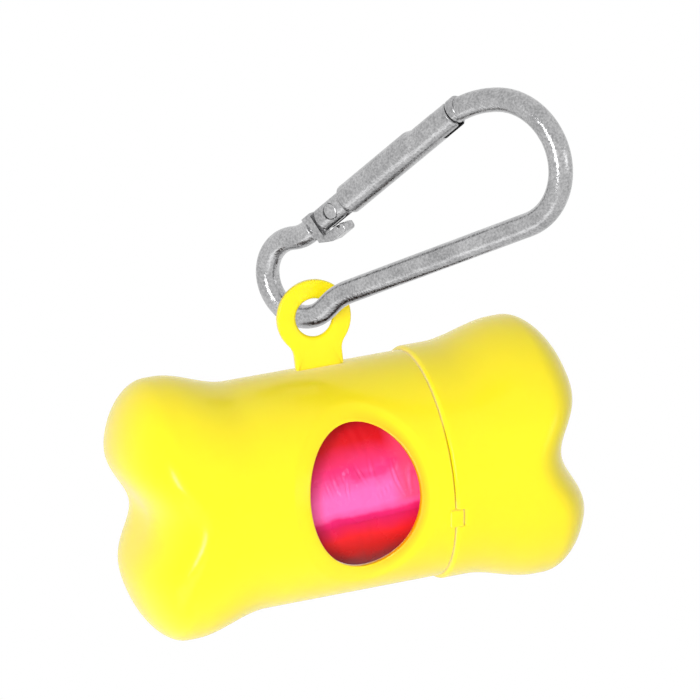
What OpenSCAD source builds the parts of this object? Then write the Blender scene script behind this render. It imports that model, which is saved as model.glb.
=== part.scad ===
// Bone-shaped dispenser for a roll of dog waste bags, with a snap hook through its hanging tab.
// Millimetres. The bone's axis is X, its tab points up +Z and its window faces -Y.
// The origin is the centre of the snap hook's big bend, the eye that a lead or belt loop hangs from.

/* [Bone] */
// Thickness of the moulded walls
wall = 1.8; // [1.4:0.1:2.2]
// Distance from the tab to the seam between the body and the cap
seam_x = 15.6; // [14:0.2:20]
// Distance from the tab to the tips of the lobes at the closed end
body_tip_x = 39.3; // [37:0.2:44]
// Distance from the tab to the tips of the lobes on the cap
cap_tip_x = 43.5; // [41:0.2:48]
// Height of the bone over its two lobes
lobe_h = 46.2; // [44:0.2:49]
// Distance before a tip at which the barrel starts to swell into the lobes
swell_start = 23; // [21:0.5:24]
// Distance before a tip at which the lobes have their full height
swell_end = 10.4; // [9:0.2:12]
// Depth of the cleft between two lobes
cleft_depth = 4.5; // [2.5:0.1:5.5]
// Height over which the cleft opens out
cleft_h = 29; // [24:0.5:32]
// How far the rounding of an end reaches along the bone
tip_round = 8.2; // [7:0.1:9.5]
// How far the rounding of an end reaches towards the bone's axis
side_round = 16; // [13:0.5:17]

/* [Window] */
// Width of the window's hole along the bone
window_w = 19.8; // [16:0.2:21]
// Height of the window's hole
window_h = 25.4; // [20:0.2:27]
// Width of the dished border round the hole
dish_w = 2.8; // [2:0.1:3.2]
// Depth of the dished border at the edge of the hole
dish_depth = 0.6; // [0.4:0.05:0.9]

/* [Cap joint] */
// How far the cap stands proud of the barrel all round
cap_step = 0.65; // [0.5:0.05:1]
// Length of the spigot that the cap pushes over
spigot_len = 7; // [5:0.5:8]
// Wall thickness of the spigot
spigot_wall = 1.15; // [1:0.05:1.3]
// Radial clearance between the spigot and the cap
cap_fit = 0.06; // [0.04:0.01:0.1]
// Width of the key beside the spigot that lines the cap up
key_w = 3.2; // [2:0.2:5]
// Length of the key along the bone
key_len = 1.2; // [1:0.1:2]
// Clearance between the key and its notch in the cap
key_gap = 0.15; // [0.1:0.05:0.3]
// Turn of the key round the bone, from the front towards the underside
key_turn = 18; // [0:1:40]

/* [Tab] */
// Outside diameter of the tab's ring
tab_d = 13.3; // [12.6:0.1:14.5]
// Diameter of the hole in the tab
tab_hole_d = 6.6; // [6.6:0.1:7]
// Thickness of the tab
tab_t = 1.4; // [1:0.1:1.4]
// Height of the hole's middle above the barrel
tab_rise = 8.75; // [8.5:0.05:10]
// Width of the tab's neck
tab_neck_w = 8.6; // [7:0.1:9.5]

/* [Bag roll] */
// Outside diameter of the full roll of bags, which sets the barrel's size
roll_d = 33; // [31:0.5:34]
// Slack between the full roll and the barrel all round
roll_slack = 1.7; // [1.4:0.1:2.2]
// Length of the roll
roll_len = 58; // [50:1:60]
// Outside diameter of the core tube
core_d = 13; // [11:0.5:16]
// Wall of the core tube
core_wall = 1.2; // [0.8:0.1:1.6]
// Depth of the lap where the last bag's edge lies on the roll
lap_depth = 0.45; // [0.3:0.05:0.7]
// Gap between the roll and the bottom of the barrel
roll_gap = 0.35; // [0.3:0.05:0.8]
// Distance from the tab to the middle of the roll
roll_x = 1.5; // [0.5:0.1:2.5]

/* [Snap hook] */
// Diameter of the hook's wire
wire_d = 4.1; // [3.8:0.05:4.1]
// Turn of the hook's plane away from the bone's plane
hook_turn = 52; // [50:1:55]
// Radius of the wire's centreline in the small bend that the tab hangs in
small_r = 7; // [6.8:0.1:7.4]
// Radius of the wire's centreline at the outer end of the big bend
big_r = 10.9; // [10:0.1:12]
// Radius of the wire's centreline where the big bend runs into the nose
nose_r = 19.6; // [17:0.2:22]
// Slope of the gate above the bone's axis, in the hook's plane
gate_slope = 32.8; // [30:0.2:36]
// Distance from the rivet to the start of the small bend's neck
hinge_neck = 7.4; // [7:0.1:8.4]

/* [Gate] */
// Diameter of the gate at its ends
gate_d = 4.4; // [4.2:0.1:4.6]
// Diameter of the gate's stouter middle
gate_grip_d = 5.4; // [4.8:0.1:5.6]
// Thickness of the flat tongues on the hook's two ends
tongue_t = 1.5; // [1.3:0.1:1.6]
// Side clearance of the gate's slots over the tongues
slot_gap = 0.15; // [0.1:0.05:0.2]
// Diameter of the rivet's shank
rivet_d = 1.6; // [1.4:0.1:1.8]
// Diameter of the rivet's heads
rivet_head_d = 2.7; // [2.4:0.1:3]
// Diameter of the latch pin
pin_d = 1.2; // [1:0.1:1.4]
// Radial running clearance of the gate on its rivet
rivet_fit = 0.05; // [0.03:0.01:0.08]

/* [Hidden] */
$fn = 64;

roll_r = roll_d / 2;
bore_r = roll_r + roll_slack;
barrel_r = bore_r + wall;
cap_r = barrel_r + cap_step;
spigot_r = bore_r + spigot_wall;
skirt_r = spigot_r + cap_fit;
skirt_gap = 0.15;
rim_r = 0.6;
body_join = 13;
cap_join = seam_x + 1.6;
join_inset = 0.03;
cleft_power = 1.8;
corner_pull = 0.6;
corner_from = cleft_h / 2;
corner_width = 8;
hub_back = 15;
tab_r = tab_d / 2;
tab_hole_r = tab_hole_d / 2;
tab_hole_z = barrel_r + tab_rise;
tab_root_z = barrel_r - wall / 2;
roll_z = roll_gap - roll_slack;
wire_r = wire_d / 2;
metal = "silver";
plastic = "yellow";

// ---- Rounded bone ends -------------------------------------------------------------------
// An end is a barrel whose height swells into two lobes, closed by an end wall with a cleft in it,
// with the edge between the two rounded over. All of it is one formula, which is zero on the skin.

function smooth_step(t) = let (c = max(0, min(1, t))) c * c * (3 - 2 * c);
// Height of the swollen barrel at x, for a barrel of radius r with its tips at x = tip.
function half_height(x, r, inset, tip) = r + (lobe_h / 2 - inset - r)
    * smooth_step((x - tip - inset + swell_start) / (swell_start - swell_end));
// Where the end wall stands at height z: pulled in by the cleft, and a little at the corners.
function wall_x(z, tip) = tip
    - cleft_depth * pow(0.5 + 0.5 * cos(180 * min(1, abs(z) / (cleft_h / 2))), cleft_power)
    - corner_pull * (max(abs(z) - corner_from, 0) / corner_width) ^ 2;
// Negative inside the end, positive outside. The inset gives the inner skin of a moulded wall.
function skin(p, r, inset, tip) =
    let (z = p.z * r / half_height(p.x, r, inset, tip),
        side = 1 + (norm([p.y, z]) - r) / (side_round - inset),
        front = 1 + (p.x - wall_x(p.z, tip)) / (tip_round - inset))
    front <= 0 ? side - 1 : norm([max(side, 0), front]) - 1;
// Distance along the ray from c in direction d to the skin, by halving.
function reach(c, d, r, inset, tip, low = 1, high = 34, steps = 18) =
    steps == 0 ? (low + high) / 2 :
    let (mid = (low + high) / 2, inside = skin(c + d * mid, r, inset, tip) < 0)
    reach(c, d, r, inset, tip, inside ? mid : low, inside ? high : mid, steps - 1);

// A closed end, from the plane x = start outwards, drawn as rings of points round the axis:
// square_rows stand square to it, fan_rows turn over the end round a hub, and one point closes it.
module bone_end(barrel, tip_x, start, inset, around, square_rows, fan_rows) {
    r = barrel - inset;
    tip = tip_x - inset;
    hub = tip_x - hub_back;
    function ring(c, tilt, shrink = 0) = [for (i = [0 : around - 1])
        let (a = 360 * (i + 0.5) / around,
            d = [sin(tilt), cos(tilt) * cos(a), cos(tilt) * sin(a)])
        c + d * (reach(c, d, r, inset, tip) - shrink)];
    square_rings = [for (j = [0 : square_rows])
        ring([start + (hub - start) * j / square_rows, 0, 0], 0, j == 0 ? join_inset : 0)];
    fan_rings = [for (j = [1 : fan_rows]) ring([hub, 0, 0], 90 * j / (fan_rows + 0.6))];
    rings = concat(square_rings, fan_rings);
    pole = [hub + reach([hub, 0, 0], [1, 0, 0], r, inset, tip), 0, 0];
    count = len(rings);
    points = concat([for (row = rings) each row], [pole]);
    bottom = [[for (i = [0 : around - 1]) i]];
    sides = [for (j = [0 : count - 2], i = [0 : around - 1])
        let (a = j * around + i, b = j * around + (i + 1) % around)
        each [[a, a + around, b], [b, a + around, b + around]]];
    last = (count - 1) * around;
    top = [for (i = [0 : around - 1]) [last + i, count * around, last + (i + 1) % around]];
    polyhedron(points, concat(bottom, sides, top));
}

module along_x(x) {
    translate([x, 0, 0]) rotate([0, 90, 0]) children();
}

// ---- Window ------------------------------------------------------------------------------
// The border and the hole share one family of ellipses, and both follow the barrel's round.

module window_cut(around = 48) {
    hole_a = window_w / 2;
    hole_b = window_h / 2;
    rim_step = 0.12;
    // Each row is [growth of the ellipse, radius from the bone's axis].
    rows = [[dish_w, barrel_r + 3], [dish_w, barrel_r - rim_step],
        [dish_w / 2, barrel_r - rim_step - (dish_depth - rim_step) * 0.4],
        [0, barrel_r - dish_depth]];
    function spot(grow, rad, i) =
        let (a = 360 * (i + 0.5) / around, z = (hole_b + grow) * sin(a))
        [(hole_a + grow) * cos(a), -sqrt(rad * rad - z * z), z];
    points = concat([for (row = rows, i = [0 : around - 1]) spot(row[0], row[1], i)],
        [[0, -barrel_r - 3, 0], [0, -barrel_r + dish_depth, 0]]);
    sides = [for (j = [0 : len(rows) - 2], i = [0 : around - 1])
        let (a = j * around + i, b = j * around + (i + 1) % around)
        each [[a, b, a + around], [b, b + around, a + around]]];
    outer_hub = len(rows) * around;
    last = (len(rows) - 1) * around;
    lids = [for (i = [0 : around - 1])
        each [[i, outer_hub, (i + 1) % around], [last + i, last + (i + 1) % around, outer_hub + 1]]];
    polyhedron(points, concat(sides, lids));
    rotate([90, 0, 0]) linear_extrude(barrel_r + 3)
        polygon([for (i = [0 : around - 1])
            let (a = 360 * (i + 0.5) / around) [hole_a * cos(a), hole_b * sin(a)]]);
}

// ---- Plastic parts -----------------------------------------------------------------------

// The tab: a flat ring with a rounded hole, on a neck that flares into it.
module tab() {
    half = tab_neck_w / 2;
    flare_r = 3;
    // The flare's round runs a little way into the neck and the ring, so that their edges cross.
    bite = 0.3;
    flare_x = half + flare_r - bite / 2;
    apart = tab_r + flare_r - bite;
    flare_z = tab_hole_z - sqrt(apart ^ 2 - flare_x ^ 2);
    meet = [flare_x, flare_z] + flare_r / apart * [-flare_x, tab_hole_z - flare_z];
    translate([0, 0, tab_hole_z]) rotate([90, 0, 0]) rotate_extrude() {
        translate([tab_hole_r + tab_t / 2, 0]) circle(tab_t / 2);
        translate([tab_hole_r + tab_t / 2, -tab_t / 2])
            square([tab_r - tab_hole_r - tab_t / 2, tab_t]);
    }
    difference() {
        rotate([90, 0, 0]) linear_extrude(tab_t, center = true) polygon([[-half, tab_root_z],
            [half, tab_root_z], [half, flare_z], meet, [-meet.x, meet.y], [-half, flare_z]]);
        for (side = [-1, 1]) translate([side * flare_x, 0, flare_z]) rotate([90, 0, 0])
            cylinder(r = flare_r, h = tab_t + 1, center = true);
        translate([0, 0, tab_hole_z]) rotate([90, 0, 0])
            cylinder(r = tab_r - 2 * bite, h = tab_t + 1, center = true);
    }
}

module key(grow) {
    rotate([key_turn, 0, 0]) translate([seam_x - 1, -cap_r - grow, -key_w / 2 - grow])
        cube([key_len + 1 + grow, 2 + grow, key_w + 2 * grow]);
}

module main_body() color(plastic) difference() {
    union() {
        mirror([1, 0, 0]) bone_end(barrel_r, body_tip_x, body_join, 0, 48, 12, 9);
        along_x(-body_join) cylinder(r = barrel_r, h = seam_x + body_join);
        along_x(seam_x - 1) cylinder(r = spigot_r, h = spigot_len + 1);
        key(0);
        tab();
    }
    mirror([1, 0, 0]) bone_end(barrel_r, body_tip_x, body_join + 1, wall, 36, 8, 6);
    along_x(-body_join - 1) cylinder(r = bore_r, h = seam_x + spigot_len + body_join + 2);
    window_cut();
}

module end_cap() color(plastic) difference() {
    union() {
        bone_end(cap_r, cap_tip_x, cap_join, 0, 48, 10, 9);
        along_x(seam_x + skirt_gap) rotate_extrude() {
            translate([cap_r - rim_r, rim_r]) circle(rim_r);
            square([cap_r - rim_r, cap_join - seam_x - skirt_gap]);
            translate([0, rim_r]) square([cap_r, cap_join - seam_x - skirt_gap - rim_r]);
        }
    }
    bone_end(cap_r, cap_tip_x, seam_x + spigot_len + 1.2, wall, 36, 5, 6);
    along_x(seam_x - 1) cylinder(r = skirt_r, h = spigot_len + 1.6);
    along_x(seam_x) cylinder(r = bore_r, h = spigot_len + 1.5);
    key(key_gap);
}

// ---- Bags --------------------------------------------------------------------------------

// The roll is a spiral of film: its outside steps down by one lap where the last bag ends.
module bag_roll() color("hotpink") translate([roll_x, 0, roll_z]) rotate([0, 90, 0]) {
    steps = 96;
    lap_at = 205;
    difference() {
        linear_extrude(roll_len, center = true)
            polygon([for (i = [0 : steps])
                let (a = lap_at + 360 * i / steps, r = roll_r - lap_depth * i / steps)
                [r * cos(a), r * sin(a)]]);
        cylinder(d = core_d, h = roll_len + 1, center = true);
    }
}

module roll_core() color("tan") translate([roll_x, 0, roll_z]) rotate([0, 90, 0])
    difference() {
        cylinder(d = core_d, h = roll_len, center = true);
        cylinder(d = core_d - 2 * core_wall, h = roll_len + 1, center = true);
    }

// ---- Snap hook ---------------------------------------------------------------------------
// The wire is a chain of straights and bends. A run is [length or radius, turn]: turn 0 is a
// straight of that length, a positive turn bends left and a negative one right, in degrees.

first_heading = gate_slope + 180;
neck_r = 7.6;
seat_len = 1.9;
sweep_r = 12.3;
known_runs = [[hinge_neck, 0], [neck_r, -28], [small_r, 213], [seat_len, 0], [sweep_r, -20], [0, 0],
    [big_r, 161], [nose_r, 34]];
spine_run = 5;

function run_step(run, h) = run[1] == 0 ? run[0] * [cos(h), sin(h)] :
    run[0] * sign(run[1]) * [sin(h + run[1]) - sin(h), cos(h) - cos(h + run[1])];
function heading_at(i) = i == 0 ? first_heading : heading_at(i - 1) + known_runs[i - 1][1];
function total_step(i) = i < 0 ? [0, 0] : total_step(i - 1) + run_step(known_runs[i], heading_at(i));
// The spine is as long as it takes for the nose to come back onto the gate's own line.
gate_normal = [-sin(gate_slope), cos(gate_slope)];
spine_heading = heading_at(spine_run);
spine_len = -(total_step(len(known_runs) - 1) * gate_normal)
    / ([cos(spine_heading), sin(spine_heading)] * gate_normal);
runs = [for (i = [0 : len(known_runs) - 1]) i == spine_run ? [spine_len, 0] : known_runs[i]];

// Places in the hook's plane, from the point where the wire crosses the middle of the tab's hole.
seat_back = 1.47;
seat_drop = 0.44;
small_centre = [-seat_back, small_r - seat_drop];
small_heading = heading_at(2);
rivet_at = small_centre - run_step(runs[1], heading_at(1)) - run_step(runs[0], first_heading)
    - small_r * [-sin(small_heading), cos(small_heading)];
function place_at(i) = i == 0 ? rivet_at : place_at(i - 1) + run_step(runs[i - 1], heading_at(i - 1));
nose_at = place_at(len(runs));
// The gate runs on a little past the point where the wire comes onto its line.
nose_reach = 2.2;
gate_len = norm(nose_at - rivet_at) + nose_reach;
big_start = place_at(6);
big_heading = heading_at(6);
eye_at = big_start + big_r * [-sin(big_heading), cos(big_heading)];

// Where the middle of the wire crosses the tab, a little off the middle of its hole.
wire_x = -0.2;
wire_y = -0.1;
wire_lift = 0.53;
crossing = [wire_x, wire_y, tab_hole_z + wire_lift];
eye = crossing + [eye_at.x * cos(hook_turn), -eye_at.x * sin(hook_turn), eye_at.y];

module in_hook_plane() {
    translate(crossing) rotate([0, 0, -hook_turn]) rotate([90, 0, 0]) children();
}

// The gate's own frame: x runs from the rivet to the nose, -y is the inside of the hook.
module on_gate() {
    in_hook_plane() translate(rivet_at) rotate(gate_slope) children();
}

shoulder = hinge_neck - 1.4;
// Each run stops a hair short of its ends, and a band a hair stouter than the wire joins it on.
joint_gap = 0.1;
joint_grow = 0.03;
joint_len = 0.5;
// How far past the collar's face the nose's bend ends inside it.
nose_root = 0.4;

module wire_run(i) {
    run = runs[i];
    h = heading_at(i);
    if (run[1] == 0) {
        skip = i == 0 ? shoulder : joint_gap;
        translate(place_at(i)) rotate([0, 0, h]) rotate([0, 90, 0]) translate([0, 0, skip])
            cylinder(r = wire_r, h = run[0] - skip - joint_gap);
    } else {
        centre = place_at(i) + sign(run[1]) * run[0] * [-sin(h), cos(h)];
        trim = joint_gap / run[0] * 180 / PI;
        last = i == len(runs) - 1 ? asin((nose_reach + nose_root) / run[0]) : trim;
        first = run[1] > 0 ? h - 90 : h + 90 + run[1];
        translate(centre) rotate([0, 0, first + trim]) rotate_extrude(angle = abs(run[1]) - trim - last)
            translate([run[0], 0]) circle(wire_r);
    }
}

module wire_joint(i) {
    translate(place_at(i)) rotate([0, 0, heading_at(i)]) rotate([0, 90, 0])
        cylinder(r = wire_r + joint_grow, h = joint_len, center = true);
}

// ---- Gate --------------------------------------------------------------------------------
// Both ends of the wire carry a flat tongue, and the gate's slotted ends close over them.

slot_w = tongue_t + 2 * slot_gap;
gate_r = gate_d / 2;
grip_r = gate_grip_d / 2;
gate_back = 3.5;
grip_start = 3.5;
grip_back = 10.1;
grip_end = gate_len - grip_back;
grip_taper = 0.9;
nose_gap = 0.3;
pin_back = 2.2;
pin_x = gate_len - pin_back;
pin_notch = 0.2;
tongue_h = 3.2;
tongue_lead = 1.7;
hub_r = 1.9;
// The hinge tongue has a flat towards the plunger, so that turning the gate pushes the plunger in.
cam_x = 1.5;
// Behind the tongue the wire is pressed to a block with flat sides, which runs on into a lip inside
// the hook. The gate's heel turns clear of the block, and its underside clear of the lip.
block_t = 3;
block_h = 4.4;
block_root = 0.5;
heel_gap = 0.3;
heel_r = sqrt(gate_back ^ 2 + gate_r ^ 2);
block_end = heel_r + heel_gap;
lip_top = gate_r + heel_gap;
lip_y = 4.2;
lip_start_y = 2.9;
lip_end = 0.5;
lip_slope = 2.6;
lip_corner = 0.6;
dent_r = 0.35;
dent_at = [-0.6, -2.7];
lip_drop = 0.4;
collar_r = wire_r + 0.15;
collar_len = 1.7;

module hinge_tongue() difference() {
    union() {
        translate([0, 0, -block_t / 2]) linear_extrude(block_t)
            polygon([[-shoulder - block_root, block_h / 2], [-block_end, block_h / 2], [-block_end, -lip_top],
                [dent_at.x, -lip_top], [lip_end, -lip_top - lip_drop], [lip_end, lip_corner - lip_y], [lip_end - lip_corner, -lip_y],
                [lip_slope - shoulder, -lip_y], [-shoulder, -lip_start_y],
                [-shoulder, -block_h / 2], [-shoulder - block_root, -block_h / 2]]);
        translate([-block_end - block_root, -hub_r, -tongue_t / 2])
            cube([block_end + block_root, 2 * hub_r, tongue_t]);
        cylinder(r = hub_r, h = tongue_t, center = true);
    }
    cylinder(r = rivet_d / 2 + rivet_fit, h = tongue_t + 1, center = true);
    translate([cam_x, -hub_r, -tongue_t]) cube([hub_r, 2 * hub_r, 2 * tongue_t]);
    translate(dent_at) cylinder(r = dent_r, h = block_t + 1, center = true);
}

module nose_tongue() difference() {
    notch_r = pin_d / 2 + pin_notch;
    union() {
        translate([gate_len - 0.2, 0, 0]) rotate([0, 90, 0]) cylinder(r = collar_r, h = collar_len);
        translate([pin_x - tongue_lead, -tongue_h / 2, -tongue_t / 2])
            cube([gate_len - pin_x + tongue_lead + 0.5, tongue_h, tongue_t]);
    }
    // The notch opens inwards, so the pin swings out of it but holds it against a pull.
    translate([pin_x, 0, 0]) cylinder(r = notch_r, h = tongue_t + 1, center = true);
    translate([pin_x - notch_r, -tongue_h, -tongue_t]) cube([2 * notch_r, tongue_h, 2 * tongue_t]);
}

module carabiner_hook() color(metal) {
    in_hook_plane() {
        for (i = [0 : len(runs) - 1]) wire_run(i);
        for (i = [1 : len(runs) - 1]) wire_joint(i);
    }
    on_gate() {
        hinge_tongue();
        nose_tongue();
    }
}

bore_d = 2.3;
bore_start = rivet_d / 2 + 0.4;
bore_end = 15;
slot_end = hub_r + 0.9;
rivet_seat = 1.6;
head_gap = 0.05;

module carabiner_gate() color(metal) on_gate() difference() {
    union() {
        translate([-gate_back, 0, 0]) rotate([0, 90, 0])
            cylinder(r = gate_r, h = gate_back + grip_start - grip_taper + 0.2);
        translate([grip_start - grip_taper, 0, 0]) rotate([0, 90, 0])
            cylinder(r1 = gate_r, r2 = grip_r, h = grip_taper);
        translate([grip_start, 0, 0]) rotate([0, 90, 0]) cylinder(r = grip_r, h = grip_end - grip_start);
        translate([grip_end, 0, 0]) rotate([0, 90, 0])
            cylinder(r1 = grip_r, r2 = gate_r, h = grip_taper);
        translate([grip_end + grip_taper - 0.2, 0, 0]) rotate([0, 90, 0])
            cylinder(r = gate_r, h = gate_len - nose_gap - grip_end - grip_taper + 0.2);
    }
    translate([-gate_back - 1, -gate_d, -slot_w / 2])
        cube([gate_back + 1 + slot_end, 2 * gate_d, slot_w]);
    translate([pin_x - tongue_lead - 0.4, -gate_d, -slot_w / 2]) cube([6, 2 * gate_d, slot_w]);
    translate([bore_start, 0, 0]) rotate([0, 90, 0]) cylinder(d = bore_d, h = bore_end - bore_start);
    cylinder(d = rivet_d, h = gate_d + 2, center = true);
    // Flats that the rivet's heads sit on.
    for (side = [0, 1]) mirror([0, 0, side]) translate([0, 0, rivet_seat])
        cylinder(d = rivet_head_d + 2 * head_gap, h = gate_d);
    translate([pin_x, 0, 0]) cylinder(d = pin_d, h = gate_d + 2, center = true);
}

// The rivet's heads are low domes on the gate's flats.
module gate_rivet() color(metal) on_gate() {
    dome_depth = 0.9;
    dome_r = sqrt((rivet_head_d / 2) ^ 2 + dome_depth ^ 2);
    cylinder(d = rivet_d, h = 2 * rivet_seat, center = true);
    for (side = [0, 1]) mirror([0, 0, side]) translate([0, 0, rivet_seat]) difference() {
        translate([0, 0, -dome_depth]) sphere(r = dome_r);
        translate([-3, -3, -6]) cube([6, 6, 6]);
    }
}

module latch_pin() color(metal) on_gate() translate([pin_x, 0, 0])
    cylinder(d = pin_d, h = 2 * sqrt(gate_r ^ 2 - (pin_d / 2) ^ 2) - 0.1, center = true);

plunger_fit = 0.06;
plunger_tip = cam_x + 0.08;
plunger_head = 2.2;
plunger_stem = 2.5;
stem_d = 1.2;

module spring_plunger() color(metal) on_gate() translate([plunger_tip, 0, 0]) rotate([0, 90, 0]) {
    cylinder(d = bore_d - 2 * plunger_fit, h = plunger_head);
    cylinder(d = stem_d, h = plunger_head + plunger_stem);
}

spring_wire = 0.3;
spring_turns = 9;
spring_start = plunger_tip + plunger_head + spring_wire / 2 + 0.02;
spring_r = 0.88;
// One closed tube wound round the gate's axis, bearing on the plunger and on the bore's end.
module coil() {
    per_turn = 10;
    sides = 6;
    count = spring_turns * per_turn;
    thread_r = spring_wire / 2;
    pitch = (bore_end - thread_r - 0.02 - spring_start) / spring_turns;
    points = [for (i = [0 : count], j = [0 : sides - 1])
        let (a = 360 * i / per_turn, b = 360 * j / sides, k = spring_r + thread_r * cos(b))
        [spring_start + pitch * i / per_turn + thread_r * sin(b), k * cos(a), k * sin(a)]];
    skin = [for (i = [0 : count - 1], j = [0 : sides - 1])
        let (a = i * sides + j, b = i * sides + (j + 1) % sides)
        each [[a, b, a + sides], [b, b + sides, a + sides]]];
    ends = [[for (j = [sides - 1 : -1 : 0]) j], [for (j = [0 : sides - 1]) count * sides + j]];
    polyhedron(points, concat(skin, ends));
}

module gate_spring() color(metal) on_gate() coil();

module centred_on_eye() {
    translate(-eye) children();
}

centred_on_eye() main_body();
centred_on_eye() end_cap();
centred_on_eye() bag_roll();
centred_on_eye() roll_core();
centred_on_eye() carabiner_hook();
centred_on_eye() carabiner_gate();
centred_on_eye() gate_rivet();
centred_on_eye() latch_pin();
centred_on_eye() gate_spring();
centred_on_eye() spring_plunger();
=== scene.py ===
import math

import bmesh
import bpy
import numpy as np
from mathutils import Matrix, Vector


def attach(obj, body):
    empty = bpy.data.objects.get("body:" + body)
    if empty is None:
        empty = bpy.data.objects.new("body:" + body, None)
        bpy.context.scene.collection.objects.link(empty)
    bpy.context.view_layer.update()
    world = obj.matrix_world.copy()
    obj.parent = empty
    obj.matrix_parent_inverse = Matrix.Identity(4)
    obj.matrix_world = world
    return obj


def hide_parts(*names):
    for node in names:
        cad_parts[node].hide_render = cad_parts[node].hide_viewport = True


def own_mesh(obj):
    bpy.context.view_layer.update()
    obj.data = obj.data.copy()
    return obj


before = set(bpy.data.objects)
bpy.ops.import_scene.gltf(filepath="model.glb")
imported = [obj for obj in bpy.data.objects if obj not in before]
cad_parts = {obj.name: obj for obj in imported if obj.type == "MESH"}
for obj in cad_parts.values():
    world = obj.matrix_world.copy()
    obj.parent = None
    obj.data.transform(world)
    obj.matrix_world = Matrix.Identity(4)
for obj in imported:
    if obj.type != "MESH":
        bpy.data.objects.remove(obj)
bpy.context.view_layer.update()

# ---- Main body -----------------------------------------------------------------------------
# The yellow barrel with its closed bone end, window, tab and spigot: one moulding in coloured
# polypropylene, 1.8 mm thick, hollow for the bag roll and stepped down to the spigot at its mouth.

# Shapes are worked out in the bone's own millimetres: axis along X, tab up, window towards -Y.
# EYE is the centre of the hook's big bend, which is the frame's origin.
EYE = np.array([26.3918, -34.1359, 56.1805])
BARREL_R, WALL, SEAM_X, BODY_TIP, CAP_TIP = 20.0, 1.8, 15.6, 39.3, 43.5
LOBE_H, SWELL_START, SWELL_END = 46.2, 23.0, 10.4
CLEFT_DEPTH, CLEFT_H, CLEFT_SHARP, TIP_ROUND, SIDE_ROUND = 4.5, 29.0, 1.8, 8.2, 16.0
CROWN_DROP, CROWN_H = 0.6, 8
BORE_R = BARREL_R - WALL
# A bone end's rows fan out from a hub behind its tip, and its skin is searched for between two distances.
HUB_BACK, CAST_FROM, CAST_TO, HALVINGS = 15.0, 1.0, 34.0, 26
# The grid's columns round the barrel, those that the patch round the window takes, and half its length.
COLUMNS = 192
PATCH_FIRST, PATCH_LAST = 65, 127
PATCH_X = 14.25
# Points closer than this are welded.
WELD = 2e-4


def smooth(t):
    """s(t) = t^2 (3 - 2 t) on 0..1, flat outside."""
    t = np.clip(t, 0, 1)
    return t * t * (3 - 2 * t)


def end_skin(p, r, inset, tip):
    """Zero on the skin of a bone end. side = 1 + (|(y, z r / h(x))| - r) / side_round, where h swells from
    r to the lobes' height. front = 1 + (x - wall(z)) / tip_round, where wall is the tip less the cleft, a
    raised cosine in z, and less the crown's fall past it. The skin is where |(side, front)| = 1."""
    x, y, z = p[..., 0], p[..., 1], p[..., 2]
    swell = smooth((x - tip - inset + SWELL_START) / (SWELL_START - SWELL_END))
    half = r + (LOBE_H / 2 - inset - r) * swell
    t = np.minimum(1, np.abs(z) / (CLEFT_H / 2))
    wall = tip - CLEFT_DEPTH * (0.5 + 0.5 * np.cos(np.pi * t)) ** CLEFT_SHARP
    wall = wall - CROWN_DROP * (np.maximum(np.abs(z) - CLEFT_H / 2, 0) / CROWN_H) ** 2
    side = 1 + (np.hypot(y, z * r / half) - r) / (SIDE_ROUND - inset)
    front = 1 + (x - wall) / (TIP_ROUND - inset)
    return np.where(front <= 0, side - 1, np.hypot(np.maximum(side, 0), front) - 1)


def cast(c, d, r, inset, tip):
    """Points c + t d on the skin, with t found by halving its range."""
    low, high = np.full(d.shape[:-1], CAST_FROM), np.full(d.shape[:-1], CAST_TO)
    for _ in range(HALVINGS):
        mid = (low + high) / 2
        inside = end_skin(c + d * mid[..., None], r, inset, tip) < 0
        low, high = np.where(inside, mid, low), np.where(inside, high, mid)
    return c + d * ((low + high) / 2)[..., None]


def turns(n=COLUMNS):
    """n angles evenly round a full turn."""
    return 2 * np.pi * np.arange(n) / n


def end_grid(barrel, tip_x, start, inset, square_rows, fan_rows, a=None):
    """Rows of a bone end from x = start to its pole: square rings, then rings fanned about a hub."""
    a = turns() if a is None else a
    r, tip, hub = barrel - inset, tip_x - inset, tip_x - HUB_BACK
    x = np.concatenate([np.linspace(start, hub, square_rows, endpoint=False), np.full(fan_rows, hub)])
    tilt = np.concatenate([np.zeros(square_rows), np.linspace(0, np.pi / 2, fan_rows)])
    c = np.zeros((len(x), len(a), 3))
    c[..., 0] = x[:, None]
    side = np.cos(tilt)[:, None]
    d = np.stack([np.repeat(np.sin(tilt)[:, None], len(a), 1), side * np.cos(a), side * np.sin(a)], -1)
    return cast(c, d, r, inset, tip)


def revolve(rows, a=None):
    """Rows of [x, radius] turned about the X axis: (x, r cos a, r sin a)."""
    a = turns() if a is None else a
    rows = np.asarray(rows, float)
    x = np.repeat(rows[:, :1], len(a), 1)
    return np.stack([x, rows[:, 1:] * np.cos(a), rows[:, 1:] * np.sin(a)], -1)


def arc(cx, cy, r, start, end, n=6):
    """n points [x, y] on a circle from angle start to angle end, in degrees."""
    t = np.radians(np.linspace(start, end, n))
    return [[cx + r * math.cos(v), cy + r * math.sin(v)] for v in t]


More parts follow.
